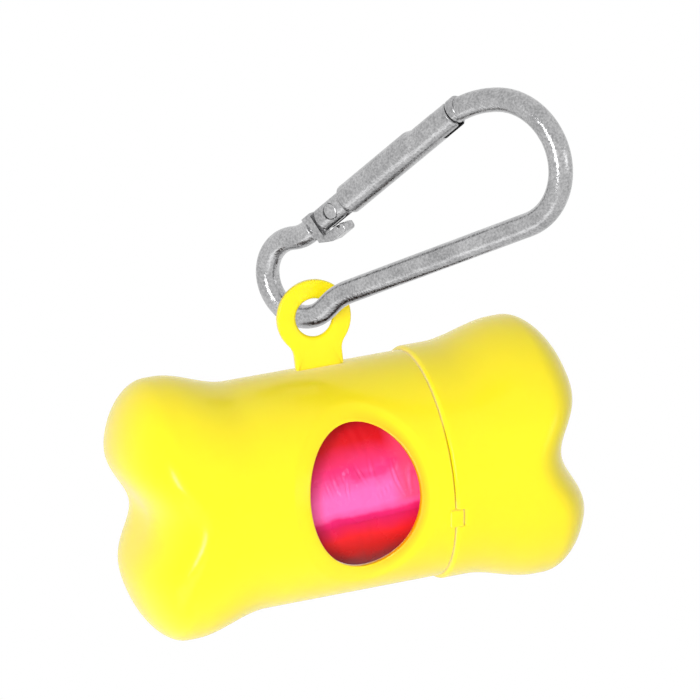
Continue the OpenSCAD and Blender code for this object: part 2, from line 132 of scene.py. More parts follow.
def piece(name, grids, finish, body, nodes, sharp=38):
    """One closed mesh from grids (points, rows close, columns close), with equal points welded. "flat" in
    place of rows close puts a face on the first and the last row. Edges over sharp degrees stay crisp."""
    verts, quads, lids, base = [], [], [], 0
    for pts, close_rows, close_cols in grids:
        m, n = pts.shape[:2]
        i = np.arange(m * n).reshape(m, n) + base
        if close_rows == "flat":
            lids += [i[0].tolist(), i[-1].tolist()]
            close_rows = False
        if close_rows:
            i = np.vstack([i, i[:1]])
        if close_cols:
            i = np.hstack([i, i[:, :1]])
        quads.append(np.stack([i[:-1, :-1], i[:-1, 1:], i[1:, 1:], i[1:, :-1]], -1).reshape(-1, 4))
        verts.append(pts.reshape(-1, 3))
        base += m * n
    verts, quads = np.concatenate(verts), np.concatenate(quads)
    steps = np.round(verts / WELD).astype(np.int64)
    _, first, back = np.unique(steps, axis=0, return_index=True, return_inverse=True)
    back = back.reshape(-1)
    verts, quads = verts[first], back[quads]
    lids = [back[lid].tolist() for lid in lids]
    doubled = quads == np.roll(quads, -1, axis=1)
    folded = doubled.sum(1) == 1
    whole = quads[~doubled.any(1)]
    tris = quads[folded][~doubled[folded]].reshape(-1, 3)
    mesh = bpy.data.meshes.new(name)
    mesh.from_pydata(((verts - EYE) / 1000).tolist(), [], whole.tolist() + tris.tolist() + lids)
    bm = bmesh.new()
    bm.from_mesh(mesh)
    bmesh.ops.recalc_face_normals(bm, faces=bm.faces)
    bm.to_mesh(mesh)
    bm.free()
    mesh.polygons.foreach_set("use_smooth", np.ones(len(mesh.polygons), bool))
    mesh.set_sharp_from_angle(angle=math.radians(sharp))
    mesh.materials.append(finish)
    obj = bpy.data.objects.new(name, mesh)
    bpy.context.scene.collection.objects.link(obj)
    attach(obj, body)
    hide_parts(*nodes)
    return obj


def group(name, inputs, outputs):
    """A shader node group with float inputs {name: default} and outputs {name: kind}."""
    tree = bpy.data.node_groups.new(name, "ShaderNodeTree")
    for key, value in inputs.items():
        tree.interface.new_socket(key, in_out="INPUT", socket_type="NodeSocketFloat").default_value = value
    for key, kind in outputs.items():
        tree.interface.new_socket(key, in_out="OUTPUT", socket_type=kind)
    return tree, tree.nodes.new("NodeGroupInput"), tree.nodes.new("NodeGroupOutput")


def noise(tree, vector, scale, detail):
    """The tone, 0 to 1, of a noise over the vector."""
    node = tree.nodes.new("ShaderNodeTexNoise")
    node.inputs["Scale"].default_value = scale
    node.inputs["Detail"].default_value = detail
    tree.links.new(vector, node.inputs["Vector"])
    return node.outputs["Fac"]


def remap(tree, value, low, high, to_low, to_high):
    """The value carried from low..high to to_low..to_high, and held at its ends."""
    node = tree.nodes.new("ShaderNodeMapRange")
    for key, v in zip(("From Min", "From Max", "To Min", "To Max"), (low, high, to_low, to_high)):
        node.inputs[key].default_value = v
    tree.links.new(value, node.inputs["Value"])
    return node.outputs["Result"]


def ramp(tree, value, stops):
    """A colour from stops (place, colour), places 0 to 1."""
    node = tree.nodes.new("ShaderNodeValToRGB")
    while len(node.color_ramp.elements) < len(stops):
        node.color_ramp.elements.new(0.5)
    for element, (place, colour) in zip(node.color_ramp.elements, stops):
        element.position, element.color = place, (*colour, 1)
    tree.links.new(value, node.inputs["Fac"])
    return node.outputs["Color"]


def maths(tree, kind, a, b):
    """Blender's maths node on two sockets or numbers."""
    node = tree.nodes.new("ShaderNodeMath")
    node.operation = kind
    for socket, v in zip(node.inputs, (a, b)):
        if isinstance(v, (int, float)):
            socket.default_value = v
        else:
            tree.links.new(v, socket)
    return node.outputs[0]


def blend(tree, factor, a, b):
    """Colour a where the factor is 0 and b where it is 1; each is a socket or an RGB value."""
    node = tree.nodes.new("ShaderNodeMix")
    node.data_type = "RGBA"
    for socket, v in zip((node.inputs[0], node.inputs[6], node.inputs[7]), (factor, a, b)):
        if isinstance(v, tuple):
            socket.default_value = (*v, 1)
        else:
            tree.links.new(v, socket)
    return node.outputs[2]


def material(name):
    """A new material with its tree, its shader and the coordinates of the piece."""
    mat = bpy.data.materials.new(name)
    mat.use_nodes = True
    tree = mat.node_tree
    shader = tree.nodes["Principled BSDF"]
    coords = tree.nodes.new("ShaderNodeTexCoord").outputs["Object"]
    return mat, tree, shader, coords


def bump(tree, shader, height, strength, distance):
    """Fine relief in the shader's normals, with the depth in metres."""
    node = tree.nodes.new("ShaderNodeBump")
    node.inputs["Strength"].default_value = strength
    node.inputs["Distance"].default_value = distance
    tree.links.new(height, node.inputs["Height"])
    tree.links.new(node.outputs["Normal"], shader.inputs["Normal"])


def mapped(tree, vector, scale, rotation=(0, 0, 0), location=(0, 0, 0)):
    """The vector scaled, turned and moved, so that a noise over it runs in streaks."""
    node = tree.nodes.new("ShaderNodeMapping")
    node.inputs["Scale"].default_value = scale
    node.inputs["Rotation"].default_value = rotation
    node.inputs["Location"].default_value = location
    tree.links.new(vector, node.inputs["Vector"])
    return node.outputs["Vector"]


# Handling marks shared by every material: a cloudy tone, a fine grain and sparse hairline scratches.
handling, g_in, g_out = group("handling", {"Cloud Scale": 60, "Grain Scale": 2500},
                              {key: "NodeSocketFloat" for key in ("Cloud", "Grain", "Scratches")})
handling.interface.new_socket("Vector", in_out="INPUT", socket_type="NodeSocketVector")
cloud = handling.nodes.new("ShaderNodeTexNoise")
cloud.inputs["Detail"].default_value = 4
grain = handling.nodes.new("ShaderNodeTexNoise")
grain.inputs["Detail"].default_value = 2
for node, key in ((cloud, "Cloud Scale"), (grain, "Grain Scale")):
    handling.links.new(g_in.outputs["Vector"], node.inputs["Vector"])
    handling.links.new(g_in.outputs[key], node.inputs["Scale"])
lines = noise(handling, mapped(handling, g_in.outputs["Vector"], (900, 30, 900), (0.4, 0.9, 0.3)), 1.0, 1.0)
handling.links.new(cloud.outputs["Fac"], g_out.inputs["Cloud"])
handling.links.new(grain.outputs["Fac"], g_out.inputs["Grain"])
handling.links.new(remap(handling, lines, 0.66, 0.74, 0, 1), g_out.inputs["Scratches"])


def handled(tree, coords, cloud_scale, grain_scale):
    """The handling marks over a piece, at its own scales."""
    node = tree.nodes.new("ShaderNodeGroup")
    node.node_tree = handling
    tree.links.new(coords, node.inputs["Vector"])
    node.inputs["Cloud Scale"].default_value = cloud_scale
    node.inputs["Grain Scale"].default_value = grain_scale
    return node


yellow, tree, shader, coords = material("yellow_plastic")
marks = handled(tree, coords, 45, 1800)
plain = ramp(tree, marks.outputs["Cloud"], [(0.3, (1.0, 0.785, 0.0)), (0.7, (1.0, 0.825, 0.003))])
# A warmer yellow, painted red bounce light from the film behind the window, rings the window to 1.17 times
# its size. It grows to the right, from and to these places in metres, and is on the front alone.
WINDOW_A, WINDOW_B = 9.9, 12.7
WARM_REACH, WARM_LEFT, WARM_RIGHT, WARM_FRONT, WARM_BACK = 1.17, -0.0284, -0.0194, 0.0241, 0.0281
from_window = mapped(tree, coords, (1000 / WINDOW_A, 0, 1000 / WINDOW_B),
                     location=(EYE[0] / WINDOW_A, 0, EYE[2] / WINDOW_B))
reach = tree.nodes.new("ShaderNodeVectorMath")
reach.operation = "LENGTH"
tree.links.new(from_window, reach.inputs[0])
split = tree.nodes.new("ShaderNodeSeparateXYZ")
tree.links.new(coords, split.inputs[0])
painted_red_bounce = maths(tree, "MULTIPLY", remap(tree, reach.outputs["Value"], WARM_REACH, 1.0, 0, 1),
             remap(tree, split.outputs["X"], WARM_LEFT, WARM_RIGHT, 0.12, 1))
painted_red_bounce = maths(tree, "MULTIPLY", painted_red_bounce, remap(tree, split.outputs["Y"], WARM_FRONT, WARM_BACK, 1, 0))
tree.links.new(blend(tree, painted_red_bounce, plain, (1.0, 0.44, 0.003)), shader.inputs["Base Color"])
tree.links.new(remap(tree, marks.outputs["Grain"], 0.3, 0.7, 0.2, 0.26), shader.inputs["Roughness"])
shader.inputs["Subsurface Weight"].default_value = 0.25
shader.inputs["Subsurface Radius"].default_value = (1.0, 0.7, 0.1)
shader.inputs["Subsurface Scale"].default_value = 0.0015
relief = maths(tree, "SUBTRACT", marks.outputs["Grain"], marks.outputs["Scratches"])
bump(tree, shader, relief, 0.12, 0.00003)

a_all = turns()
patch_cols = np.arange(PATCH_FIRST, PATCH_LAST + 1)
outside_cols = np.arange(PATCH_LAST, COLUMNS + PATCH_FIRST + 1) % COLUMNS
x_rows = np.linspace(-PATCH_X, PATCH_X, 21)


def beside(r):
    """The rest of the barrel at radius r, from one side of the patch round to the other."""
    return revolve(np.stack([x_rows, np.full_like(x_rows, r)], -1))[:, outside_cols]


def patch(r, rows, spread):
    """The barrel of radius r round the window: loops that pass from the window's ellipses [growth, radius]
    to a rectangle in (x, angle), sharing the barrel's own grid points along its border."""
    a = a_all[patch_cols]
    top, low = a[0], a[-1]
    loop = [(x_rows[-1], v) for v in a[:-1]] + [(x, low) for x in x_rows[:0:-1]]
    loop += [(x_rows[0], v) for v in a[:0:-1]] + [(x, top) for x in x_rows[:-1]]
    loop = np.array(loop)
    lx, la = loop[:, 0], loop[:, 1]
    t = np.arctan2(r * np.sin(la) / WINDOW_B, lx / WINDOW_A)
    grow, rad = rows[0]
    ex, ez = (WINDOW_A + grow) * np.cos(t), (WINDOW_B + grow) * np.sin(t)
    ea = np.pi - np.arcsin(ez / rad)
    out = []
    for s in np.linspace(1, 0, spread, endpoint=False):
        x, ang = ex + (lx - ex) * s, ea + (la - ea) * s
        out.append(np.stack([x, r * np.cos(ang), r * np.sin(ang)], -1))
    for grow, rad in rows:
        x, z = (WINDOW_A + grow) * np.cos(t), (WINDOW_B + grow) * np.sin(t)
        out.append(np.stack([x, -np.sqrt(rad * rad - z * z), z], -1))
    return np.array(out)


mirror_x = np.array([-1, 1, 1])
# The window's dished border, as [growth past the window's edge, radius], down to the bore.
dish = [[grow, BARREL_R - drop] for grow, drop in (
    (3.5, 0), (3.25, 0.01), (3.0, 0.035), (2.8, 0.07), (2.6, 0.11), (2.4, 0.15), (2.15, 0.19), (1.8, 0.25),
    (1.2, 0.36), (0.6, 0.47), (0.3, 0.55), (0.14, 0.62), (0.04, 0.72), (0, 0.86))]
dish += [[0, BORE_R + 0.5], [0, BORE_R + 0.12], [0.05, BORE_R]]
# The mouth, as [x, radius]: the seam's edge, the spigot outside and the bore inside.
SPIGOT_WALL, SPIGOT_LEN = 1.15, 7.0
SPIGOT_R, spigot_end = BORE_R + SPIGOT_WALL, SEAM_X + SPIGOT_LEN
mouth = [[PATCH_X, BARREL_R], [SEAM_X - 0.5, BARREL_R], *arc(SEAM_X - 0.22, BARREL_R - 0.22, 0.22, 90, 0),
         [SEAM_X, SPIGOT_R + 0.15], *arc(SEAM_X + 0.15, SPIGOT_R + 0.15, 0.15, 180, 270, 4),
         [SEAM_X + 2.5, SPIGOT_R], [spigot_end - 0.8, SPIGOT_R],
         *arc(spigot_end - 0.45, SPIGOT_R - 0.45, 0.45, 80, 0),
         *arc(spigot_end - 0.3, BORE_R + 0.3, 0.3, 0, -90),
         [SEAM_X + 3.0, BORE_R], [PATCH_X, BORE_R]]
body_grids = [
    (end_grid(BARREL_R, BODY_TIP, PATCH_X, 0, 8, 60) * mirror_x, False, True),
    (beside(BARREL_R), False, False),
    (patch(BARREL_R, dish, 7), False, True),
    (revolve(mouth), False, True),
    (beside(BORE_R), False, False),
    (patch(BORE_R, [[0.6, BORE_R], [0.05, BORE_R]], 7), False, True),
    (end_grid(BARREL_R, BODY_TIP, PATCH_X, WALL, 6, 36) * mirror_x, False, True),
]

# The tab: loops of one outline carried round its thickness, with the hole's edge fully rounded.
TAB_R, TAB_T, TAB_EDGE, TAB_ROOT, HOLE_R, HOLE_Z, NECK, FLARE = 6.65, 1.4, 0.35, 19.1, 3.3, 28.75, 4.3, 3.0
flare_x = NECK + FLARE
flare_z = HOLE_Z - math.sqrt((TAB_R + FLARE) ** 2 - flare_x ** 2)
meet = math.degrees(math.atan2(flare_z - HOLE_Z, flare_x))
right = arc(0, HOLE_Z, TAB_R, 90, meet, 26) + arc(flare_x, flare_z, FLARE, meet + 180, 180, 10)[1:]
right += [[NECK, z] for z in np.linspace(flare_z, TAB_ROOT, 8)[1:]]
outline = np.array(right + [[x, TAB_ROOT] for x in np.linspace(NECK, -NECK, 9)[1:-1]]
                   + [[-x, z] for x, z in right[:0:-1]])
step = np.roll(outline, -1, 0) - np.roll(outline, 1, 0)
inward = np.stack([step[:, 1], -step[:, 0]], -1) / np.linalg.norm(step, axis=1, keepdims=True)
angle = np.arctan2(outline[:, 1] - HOLE_Z, outline[:, 0])
ring = np.stack([np.cos(angle), np.sin(angle)], -1)
tab_rows = []
for t in np.radians(np.linspace(-90, 90, 9)):
    flat = np.array([0, HOLE_Z]) + ring * (HOLE_R + TAB_T / 2 - TAB_T / 2 * math.cos(t))
    tab_rows.append(np.insert(flat, 1, TAB_T / 2 * math.sin(t), axis=1))
inner, outer = np.array([0, HOLE_Z]) + ring * (HOLE_R + TAB_T / 2), outline + inward * TAB_EDGE
for s in (0.33, 0.67):
    tab_rows.append(np.insert(inner + (outer - inner) * s, 1, TAB_T / 2, axis=1))
for t in np.radians(np.linspace(90, -90, 11)):
    flat = outline + inward * TAB_EDGE * (1 - math.cos(t))
    y = (TAB_T / 2 - TAB_EDGE) * np.sign(round(math.sin(t), 6)) + TAB_EDGE * math.sin(t)
    tab_rows.append(np.insert(flat, 1, y, axis=1))
for s in (0.67, 0.33):
    tab_rows.append(np.insert(inner + (outer - inner) * s, 1, -TAB_T / 2, axis=1))
body_grids.append((np.array(tab_rows), True, True))


def block(low, high, soft, turn):
    """A box with its edges rounded by soft: rings about X and a lid at each end, turned about that axis."""
    low, high = np.array(low, float), np.array(high, float)
    c, h = (low + high) / 2, (high - low) / 2
    around = 32
    a = turns(around) + np.pi / around
    u, v = np.cos(a), np.sin(a)
    box = np.stack([np.clip(u * 3, -1, 1), np.clip(v * 3, -1, 1)], -1)
    corner = np.stack([u, v], -1)
    rows = []
    for t in np.linspace(-90, 90, 7):
        x = c[0] + np.sign(t) * (h[0] - soft) + soft * math.sin(math.radians(t))
        grow = soft * math.cos(math.radians(t))
        flat = c[1:] + box * (h[1:] - soft) + corner * grow
        rows.append(np.insert(flat, 0, x, axis=1))
    lids = [np.insert(np.repeat(c[None, 1:], around, 0), 0, row[0, 0], axis=1) for row in (rows[0], rows[-1])]
    p = np.array([lids[0], *rows, lids[1]])
    cs, sn = math.cos(math.radians(turn)), math.sin(math.radians(turn))
    return np.stack([p[..., 0], p[..., 1] * cs - p[..., 2] * sn, p[..., 1] * sn + p[..., 2] * cs], -1)


# The key that the cap's notch fits over, low on the window's side of the seam.
KEY_W, KEY_LEN, KEY_TURN, CAP_R = 3.2, 1.2, 18.0, 20.65
key = block([SEAM_X - 1, -CAP_R, -KEY_W / 2], [SEAM_X + KEY_LEN, -CAP_R + 2, KEY_W / 2], 0.12, KEY_TURN)
body_grids.append((key, False, True))
main_body = piece("main_body_moulding", body_grids, yellow, "bone", ["main_body"])

# ---- End cap -------------------------------------------------------------------------------
# The yellow bone end that pushes over the spigot: the same plastic and wall, with a rim that
# stands proud of the barrel and a notch in it for the body's key.

RIM_R, CAP_FIT, SKIRT_GAP, KEY_SLACK = 0.6, 0.06, 0.15, 0.15
SKIRT_R, RIM_X = SPIGOT_R + CAP_FIT, SEAM_X + SKIRT_GAP
key_a = np.pi + math.radians(KEY_TURN)
half_key = (KEY_W / 2 + KEY_SLACK) / CAP_R
# Columns crowd together at the notch's two sides, which fall over a narrow strip each.
key_columns = key_a + half_key * np.array([-1.1, -1.04, -1, -0.96, 0.96, 1, 1.04, 1.1])
a_cap = np.sort(np.concatenate([turns(), key_columns]))
notch = (KEY_LEN + KEY_SLACK) * smooth((half_key * 1.04 - np.abs(a_cap - key_a)) / (half_key * 0.08))
rim = [[RIM_X + 1.9, SKIRT_R], [RIM_X + 0.3, SKIRT_R], *arc(RIM_X + 0.2, SKIRT_R + 0.2, 0.2, 270, 180, 4),
       *arc(RIM_X + RIM_R, CAP_R - RIM_R, RIM_R, 180, 90, 9), [RIM_X + 1.2, CAP_R], [RIM_X + 2.2, CAP_R]]
rim_grid = revolve(rim, a_cap)
rim_grid[..., 0] += notch[None, :] * np.clip((RIM_X + 2.0 - rim_grid[..., 0]) / 1.4, 0, 1)
# The skirt over the spigot, and the step in to where the end's own inside starts.
skirt_end, inner_start = spigot_end + 0.6, spigot_end + 1.2
skirt = [[RIM_X + 1.9, SKIRT_R], [skirt_end, SKIRT_R], [skirt_end, BORE_R + 0.66],
         [inner_start, BORE_R + 0.65]]
cap_grids = [
    (rim_grid, False, True),
    (end_grid(CAP_R, CAP_TIP, RIM_X + 2.2, 0, 12, 60, a_cap), False, True),
    (revolve(skirt, a_cap), False, True),
    (end_grid(CAP_R, CAP_TIP, inner_start, WALL, 5, 36, a_cap), False, True),
]
# The end's inside takes the skirt's last ring as its first.
cap_grids[3][0][0] = cap_grids[2][0][-1]
end_cap = piece("end_cap_moulding", cap_grids, yellow, "cap", ["end_cap"])
# The steel doesn't mirror the yellow.
main_body.visible_glossy = end_cap.visible_glossy = False

# ---- Bag roll ------------------------------------------------------------------------------
# A roll of thin pink film bags, wound tight on the core: glossy, faintly wrinkled, with the
# last bag's edge lying along it and the winding's turns showing at both ends.

ROLL_R, ROLL_LEN, CORE_R, ROLL_X, ROLL_LIFT = 16.5, 58.0, 6.5, 1.5, 0.35
ROLL_Z = ROLL_R - BORE_R + ROLL_LIFT

pink, tree, shader, coords = material("pink_film")
marks = handled(tree, coords, 140, 1500)
split = tree.nodes.new("ShaderNodeSeparateXYZ")
tree.links.new(coords, split.inputs[0])
# Millimetres along the roll from the window's middle, which lies at this x in metres.
MIDDLE_X = -0.0264
along = remap(tree, split.outputs["X"], MIDDLE_X - 0.01, MIDDLE_X + 0.01, -10, 10)
# The bands repeat each third of a turn, by the angle about the roll's axis. Their level is in
# millimetres above the bone's axis, leaning along the roll and swaying with the cloud.
AXIS_Y, AXIS_Z = -EYE[1] / 1000, (ROLL_Z - EYE[2]) / 1000
SKIN_R, SKIN_RISE, LEAN, SWAY = 16.4, -1.33, 0.06, 2.5
round_roll = maths(tree, "ARCTAN2", maths(tree, "SUBTRACT", split.outputs["Z"], AXIS_Z),
                   maths(tree, "SUBTRACT", AXIS_Y, split.outputs["Y"]))
third = tree.nodes.new("ShaderNodeMath")
third.operation = "WRAP"
for socket, v in zip(third.inputs[1:], (math.pi / 3, -math.pi / 3)):
    socket.default_value = v
tree.links.new(round_roll, third.inputs[0])
above_axis = maths(tree, "MULTIPLY", maths(tree, "SINE", third.outputs[0], 0), SKIN_R)
height = maths(tree, "ADD", above_axis, SKIN_RISE)
lean = maths(tree, "SUBTRACT", height, maths(tree, "MULTIPLY", along, LEAN))
sway = maths(tree, "MULTIPLY", maths(tree, "SUBTRACT", marks.outputs["Cloud"], 0.5), SWAY)
level = maths(tree, "ADD", lean, sway)
# The film's own pink with painted light and shade over it: dark red painted shade at the bottom, red where
# painted yellow bounce light falls, darker magenta as a painted shadow under the last bag's edge, a bright
# pink painted highlight band above it, and pink fading into red painted shade at the top.
LEVEL_END = 12
PAINTED_LIGHT_BANDS = ((-12, (0.42, 0.002, 0.002)), (-9.5, (0.60, 0.004, 0.004)), (-7.5, (0.80, 0.010, 0.016)),
         (-4.4, (0.68, 0.006, 0.10)), (-3.4, (0.76, 0.012, 0.15)), (-2.8, (0.98, 0.09, 0.34)),
         (-1.8, (1.0, 0.14, 0.46)), (0.8, (1.0, 0.14, 0.46)), (4.6, (0.88, 0.04, 0.20)),
         (8.8, (0.72, 0.008, 0.018)))
pink_and_painted_light = ramp(tree, remap(tree, level, -LEVEL_END, LEVEL_END, 0, 1),
              [((v + LEVEL_END) / (2 * LEVEL_END), colour) for v, colour in PAINTED_LIGHT_BANDS])
# Towards the cap the upper painted bands give way to one pink.
far_side = maths(tree, "MULTIPLY", remap(tree, along, 5.5, 8, 0, 1), remap(tree, level, -3, -2, 0, 0.8))
pink_and_painted_light = blend(tree, far_side, pink_and_painted_light, (0.94, 0.07, 0.20))


def between(tree, value, low, full, fade, high):
    """0 up to low, 1 from full to fade, and 0 again from high."""
    return maths(tree, "MULTIPLY", remap(tree, value, low, full, 0, 1), remap(tree, value, high, fade, 0, 1))


# Darker rose clouds at random over the pink band, and short painted glints, streaks of painted highlight.
dark_rose_noise = noise(tree, mapped(tree, coords, (260, 260, 420), (0, -0.5, 0)), 1.0, 2.0)
dark_rose_clouds = maths(tree, "MULTIPLY", remap(tree, dark_rose_noise, 0.48, 0.66, 0, 0.6),
              between(tree, level, 0.5, 2.5, 4.5, 7.5))
pink_and_painted_light = blend(tree, dark_rose_clouds, pink_and_painted_light, (0.76, 0.02, 0.17))
# Painted highlight: the glints lighten the base colour to a pale pink in short streaks on the pink band,
# fading towards the cap.
glint_noise = noise(tree, mapped(tree, coords, (800, 800, 330), (0, 0.45, 0)), 1.0, 2.0)
painted_glint_reach = maths(tree, "MULTIPLY", between(tree, level, -0.5, 1.5, 3.5, 6.5),
                    remap(tree, along, 3.5, 0.5, 0.25, 1))
painted_glints = maths(tree, "MULTIPLY", remap(tree, glint_noise, 0.60, 0.74, 0, 0.5), painted_glint_reach)
tree.links.new(blend(tree, painted_glints, pink_and_painted_light, (1.0, 0.34, 0.72)), shader.inputs["Base Color"])
tree.links.new(remap(tree, marks.outputs["Cloud"], 0.3, 0.7, 0.2, 0.34), shader.inputs["Roughness"])
shader.inputs["Specular IOR Level"].default_value = 0.2
bump(tree, shader, marks.outputs["Cloud"], 0.25, 0.0003)


def on_roll(p):
    """A point of the roll's own frame in the bone's."""
    return p + np.array([ROLL_X, 0, ROLL_Z])


# Pulled creases: place along and up, slope, length, width and depth in millimetres.
CREASES = [
    (-5.63, 2.0, -0.27, 0.9, 0.24, 0.12), (-4.3, 2.8, -0.23, 1.1, 0.32, 0.12),
    (-2.26, 1.7, 0.08, 0.95, 0.24, 0.16), (0.46, 3.5, -0.43, 1.1, 0.26, 0.15),
    (-2.6, 3.5, -0.13, 0.6, 0.22, 0.09), (6.6, 1.7, -0.27, 1.9, 0.26, 0.16),
    (2.5, 4.3, 0.0, 1.1, 0.35, 0.1), (8.8, 1.2, 0.1, 1.6, 0.4, 0.1), (4.6, 0.4, 1.6, 1.0, 0.3, 0.1)]


def film(x, a, r):
    """Film on the roll: ripples none deeper than 0.12 mm, and pulled creases, each a groove beside a ridge
    d = depth * u exp(1 - u^2) exp(-(v / length)^2), u across it in widths and v along it."""
    low = np.sin(x * 0.9 + 2.2 * np.sin(a * 3.0)) * np.sin(a * 5.0 + x * 0.35)
    fine = np.sin(x * 2.3 - a * 7.0 + 1.7 * np.sin(x * 0.6)) * np.sin(a * 2.0 - x * 0.5)
    z = r * np.sin(a) + ROLL_Z
    out = r - 0.06 - 0.035 * low - 0.02 * fine
    for cx, cz, slope, length, width, depth in CREASES:
        u = (x + ROLL_X - cx - slope * (z - cz) - 0.05 * (z - cz) ** 2) / width
        v = np.where(np.cos(a) < 0, (z - cz) / length, 9)
        out = out + depth * u * np.exp(1 - u * u) * np.exp(-v * v)
    return out


# The last bag's edge: its step, its place round the roll and its lean along it.
LAP_STEP, EDGE_A, EDGE_SKEW = 0.4, math.radians(190.8), -0.0036
a_roll = np.sort(np.concatenate([turns(240), EDGE_A + np.array([-0.004, 0.0, 0.004])]))
film_end, hole_r = ROLL_LEN / 2 - 0.3, CORE_R + 0.02
# Rings crowd together where the window shows the film.
x_roll = np.concatenate([np.linspace(-film_end, -13.2, 30), np.linspace(-13, 10, 200),
                         np.linspace(10.3, film_end, 32)])
xx, aa = np.meshgrid(x_roll, a_roll, indexing="ij")
wound = LAP_STEP * (((EDGE_A - aa) % (2 * np.pi)) / (2 * np.pi))
aa = aa + EDGE_SKEW * xx
rr = film(xx, aa, ROLL_R - wound)
skin_roll = np.stack([xx, rr * np.cos(aa), rr * np.sin(aa)], -1)
rows = [skin_roll]
# Each end shows the winding: a fine wave across the radius that follows the turns.
WAVE_DEEP, WAVE_GAP = 0.16, 0.55
for end in (1, -1):
    edge = rr[-1] if end > 0 else rr[0]
    k = np.linspace(0, 1, 60)[:, None]
    turned = aa[-1:] if end > 0 else aa[:1]
    radius = edge[None] * (1 - k) + hole_r * k
    winding = WAVE_DEEP * np.sin(radius * 2 * np.pi / WAVE_GAP + turned)
    x = end * (ROLL_LEN / 2 - 0.2 + winding * np.minimum(1, 12 * k) * np.minimum(1, 12 * (1 - k)))
    x = np.where(k < 0.01, end * film_end, x)
    rows.append(np.stack([x, radius * np.cos(turned), radius * np.sin(turned)], -1))
bore = np.stack([xx, hole_r * np.cos(aa), hole_r * np.sin(aa)], -1)[::20]
bore[0], bore[-1] = rows[2][-1], rows[1][-1]
roll_grids = [(on_roll(r), False, True) for r in (*rows, bore)]
bag_roll = piece("bag_roll_film", roll_grids, pink, "roll", ["bag_roll"], 50)
# The steel doesn't mirror the film.
bag_roll.visible_glossy = False

# ---- Roll core -----------------------------------------------------------------------------
# The tube of brown, matt board that the bags are wound on. It is made of wound paper strips,
# 1.2 mm thick, and stays inside the roll.

board, tree, shader, coords = material("core_board")
marks = handled(tree, coords, 300, 5000)
tree.links.new(ramp(tree, marks.outputs["Cloud"], [(0.3, (0.36, 0.24, 0.13)), (0.7, (0.50, 0.36, 0.21))]),
               shader.inputs["Base Color"])
shader.inputs["Roughness"].default_value = 0.85
bump(tree, shader, marks.outputs["Grain"], 0.3, 0.0001)

CORE_WALL, CORE_ROUND = 1.2, 0.25
inner_r, tube_end = CORE_R - CORE_WALL, ROLL_LEN / 2 - CORE_ROUND
tube = arc(tube_end, CORE_R - CORE_ROUND, CORE_ROUND, 90, 0, 4)
tube += arc(tube_end, inner_r + CORE_ROUND, CORE_ROUND, 0, -90, 4)
tube += [[-x, r] for x, r in tube[::-1]]
piece("roll_core_tube", [(on_roll(revolve(tube, turns(96))), True, True)], board, "roll", ["roll_core"])

# ---- Snap hook -----------------------------------------------------------------------------
# One length of 4.1 mm steel wire bent into a pear and nickel plated. One end is pressed into a
# block with a lip and a flat tongue that the gate turns on, and the other into a collar and a
# tongue with a notch for the gate's pin.

steel, tree, shader, coords = material("plated_steel")
marks = handled(tree, coords, 220, 2600)
shader.inputs["Metallic"].default_value = 1.0
tone = maths(tree, "ADD", maths(tree, "MULTIPLY", marks.outputs["Cloud"], 0.4),
             maths(tree, "MULTIPLY", marks.outputs["Grain"], 0.6))
greys = ramp(tree, tone, [(0.36, (0.30, 0.30, 0.305)), (0.64, (0.56, 0.56, 0.565))])
tree.links.new(greys, shader.inputs["Base Color"])
rough = maths(tree, "ADD", remap(tree, marks.outputs["Grain"], 0.3, 0.7, 0.12, 0.24),
              maths(tree, "MULTIPLY", marks.outputs["Scratches"], 0.15))
tree.links.new(rough, shader.inputs["Roughness"])
bump(tree, shader, maths(tree, "ADD", maths(tree, "MULTIPLY", marks.outputs["Cloud"], 1.5),
                         marks.outputs["Grain"]), 0.7, 0.00006)

# The hook's plane stands upright through CROSSING, where the wire passes the tab's hole. RIVET is the
# gate's pivot in it, and SLOPE is the slope of the gate's line.
WIRE_R, SLOPE, TURN = 2.05, math.radians(32.8), math.radians(52)
CROSSING = np.array([-0.2, -0.1, 29.28])
ALONG = np.array([math.cos(TURN), -math.sin(TURN), 0])
UP = np.array([0, 0, 1.0])
OUT = np.cross(ALONG, UP)
RIVET = np.array([7.64550, 18.72918])
# Runs of the wire's centreline, (length, 0) straight or (radius, degrees) bent left (+) or right (-): the
# neck and its bend, the small bend, its seat, the sweep, the spine, the big bend and the nose. The spine's
# length and the nose's trim bring the nose onto the gate's line.
SHOULDER, SPINE, NOSE_TRIM = 6.0, 40.355823, 7.623
RUNS = [(7.4 - SHOULDER, 0), (7.6, -28), (7.0, 213), (1.9, 0), (12.3, -20), (SPINE, 0), (10.9, 161),
        (19.6, 34 - NOSE_TRIM)]


def in_plane(uv, w=0.0):
    """A point (u, v) of the hook's plane, w out of it, in the bone's frame."""
    uv = np.asarray(uv, float)
    return CROSSING + uv[..., :1] * ALONG + uv[..., 1:2] * UP + np.asarray(w, float)[..., None] * OUT


def on_gate(p):
    """A point of the gate's frame: x from the rivet to the nose, -y inside the hook, z along the rivet."""
    c, s = math.cos(SLOPE), math.sin(SLOPE)
    uv = np.stack([RIVET[0] + p[..., 0] * c - p[..., 1] * s, RIVET[1] + p[..., 0] * s + p[..., 1] * c], -1)
    return in_plane(uv, p[..., 2])


